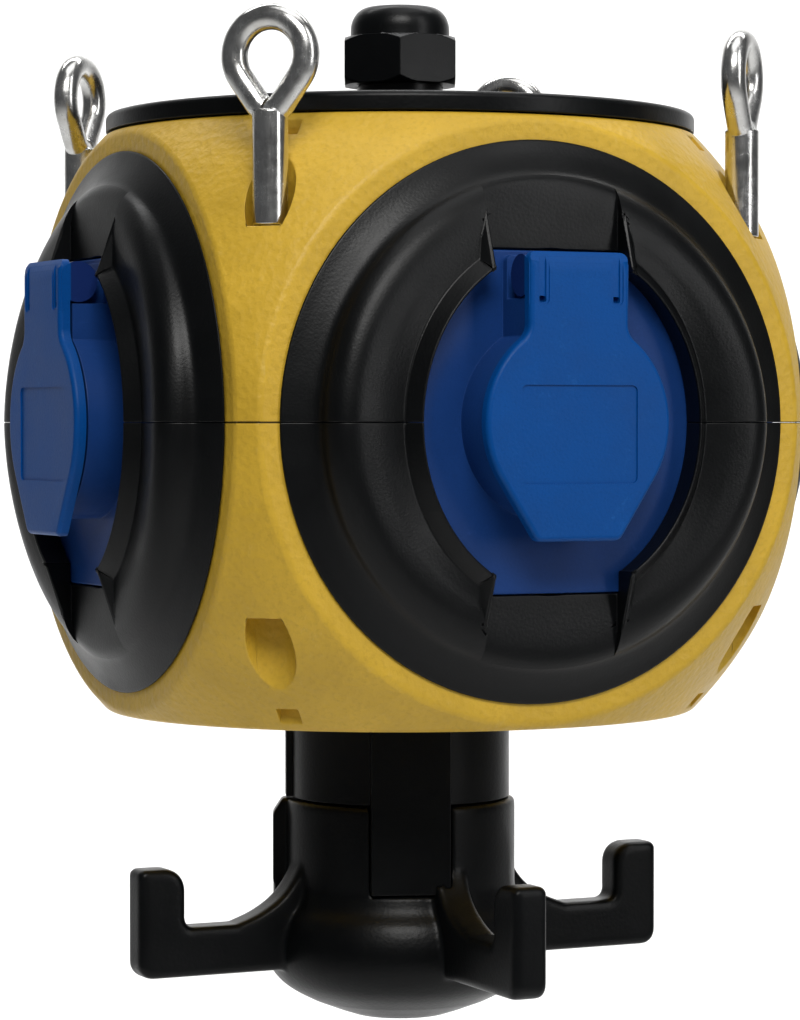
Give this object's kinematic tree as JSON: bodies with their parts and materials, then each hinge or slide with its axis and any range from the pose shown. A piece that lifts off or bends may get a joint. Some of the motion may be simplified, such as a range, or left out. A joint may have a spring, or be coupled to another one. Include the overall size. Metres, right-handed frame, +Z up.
{
  "type": "hanging power distribution box",
  "caption": "Ball-shaped hanging power distribution box with lidded sockets on its sides, lifting eyes, a top cable gland and cable hooks below.",
  "frame": {"origin": "on the vertical axis, at the height where the load bears in the lifting eyes", "axes": "+Z up along the vertical axis through the gland and the neck; -Y out of the front socket; +X out of the right socket"},
  "size_m": [0.2046, 0.2046, 0.271],
  "materials": {
    "yellow_shell": "moulded, fine grain on the corners, smoother bands round the bezels",
    "black_bezel": "satin moulded",
    "black_plastic": "satin moulded",
    "gland_black": "semi-gloss moulded",
    "blue_lid": "satin moulded",
    "blue_socket": "satin moulded",
    "contact_insert": "matt",
    "seal_rubber": "soft matt",
    "zinc_steel": "bright zinc plated",
    "brass": "plated",
    "grey_plastic": "matt",
    "cable_jacket": "matt"
  },
  "bodies": {
    "housing": {"upper_shell": "yellow_shell", "lower_shell": "yellow_shell", "bezel_front_upper": "black_bezel", "bezel_front_lower": "black_bezel", "socket_body_front": "blue_socket", "socket_insert_front": "contact_insert", "earth_clip_front": "brass", "lid_pin_front": "zinc_steel", "lid_spring_front": "zinc_steel", "bezel_right_upper": "black_bezel", "bezel_right_lower": "black_bezel", "socket_body_right": "blue_socket", "socket_insert_right": "contact_insert", "earth_clip_right": "brass", "lid_pin_right": "zinc_steel", "lid_spring_right": "zinc_steel", "bezel_back_upper": "black_bezel", "bezel_back_lower": "black_bezel", "socket_body_back": "blue_socket", "socket_insert_back": "contact_insert", "earth_clip_back": "brass", "lid_pin_back": "zinc_steel", "lid_spring_back": "zinc_steel", "bezel_left_upper": "black_bezel", "bezel_left_lower": "black_bezel", "socket_body_left": "blue_socket", "socket_insert_left": "contact_insert", "earth_clip_left": "brass", "lid_pin_left": "zinc_steel", "lid_spring_left": "zinc_steel", "eye_nut_front_right": "zinc_steel", "clamp_bolt_front_right": "zinc_steel", "eye_nut_back_right": "zinc_steel", "clamp_bolt_back_right": "zinc_steel", "eye_nut_back_left": "zinc_steel", "clamp_bolt_back_left": "zinc_steel", "eye_nut_front_left": "zinc_steel", "clamp_bolt_front_left": "zinc_steel", "top_disc": "black_plastic", "disc_seal": "seal_rubber", "gland_body": "gland_black", "gland_cap": "gland_black", "gland_seal": "seal_rubber", "gland_locknut": "gland_black", "neck_tube": "black_plastic", "hook_ring": "black_plastic", "hook_bolt": "zinc_steel", "hook_nut": "zinc_steel", "terminal_block": "grey_plastic", "wiring": "cable_jacket"},
    "front_lid": {"lid_front": "blue_lid", "lid_seal_front": "seal_rubber"},
    "right_lid": {"lid_right": "blue_lid", "lid_seal_right": "seal_rubber"},
    "back_lid": {"lid_back": "blue_lid", "lid_seal_back": "seal_rubber"},
    "left_lid": {"lid_left": "blue_lid", "lid_seal_left": "seal_rubber"}
  },
  "joints": [
    {"name": "front_lid_hinge", "type": "hinge", "parent": "housing", "child": "front_lid", "pos_m": [0, -0.0971, -0.0599], "axis": [-1, 0, 0], "range_deg": [0, 110], "stiffness_Nm_per_rad": 0.02, "springref_deg": -28.65},
    {"name": "right_lid_hinge", "type": "hinge", "parent": "housing", "child": "right_lid", "pos_m": [0.0971, 0, -0.0599], "axis": [0, -1, 0], "range_deg": [0, 110], "stiffness_Nm_per_rad": 0.02, "springref_deg": -28.65},
    {"name": "back_lid_hinge", "type": "hinge", "parent": "housing", "child": "back_lid", "pos_m": [0, 0.0971, -0.0599], "axis": [1, 0, 0], "range_deg": [0, 110], "stiffness_Nm_per_rad": 0.02, "springref_deg": -28.65},
    {"name": "left_lid_hinge", "type": "hinge", "parent": "housing", "child": "left_lid", "pos_m": [-0.0971, 0, -0.0599], "axis": [0, 1, 0], "range_deg": [0, 110], "stiffness_Nm_per_rad": 0.02, "springref_deg": -28.65}
  ]
}
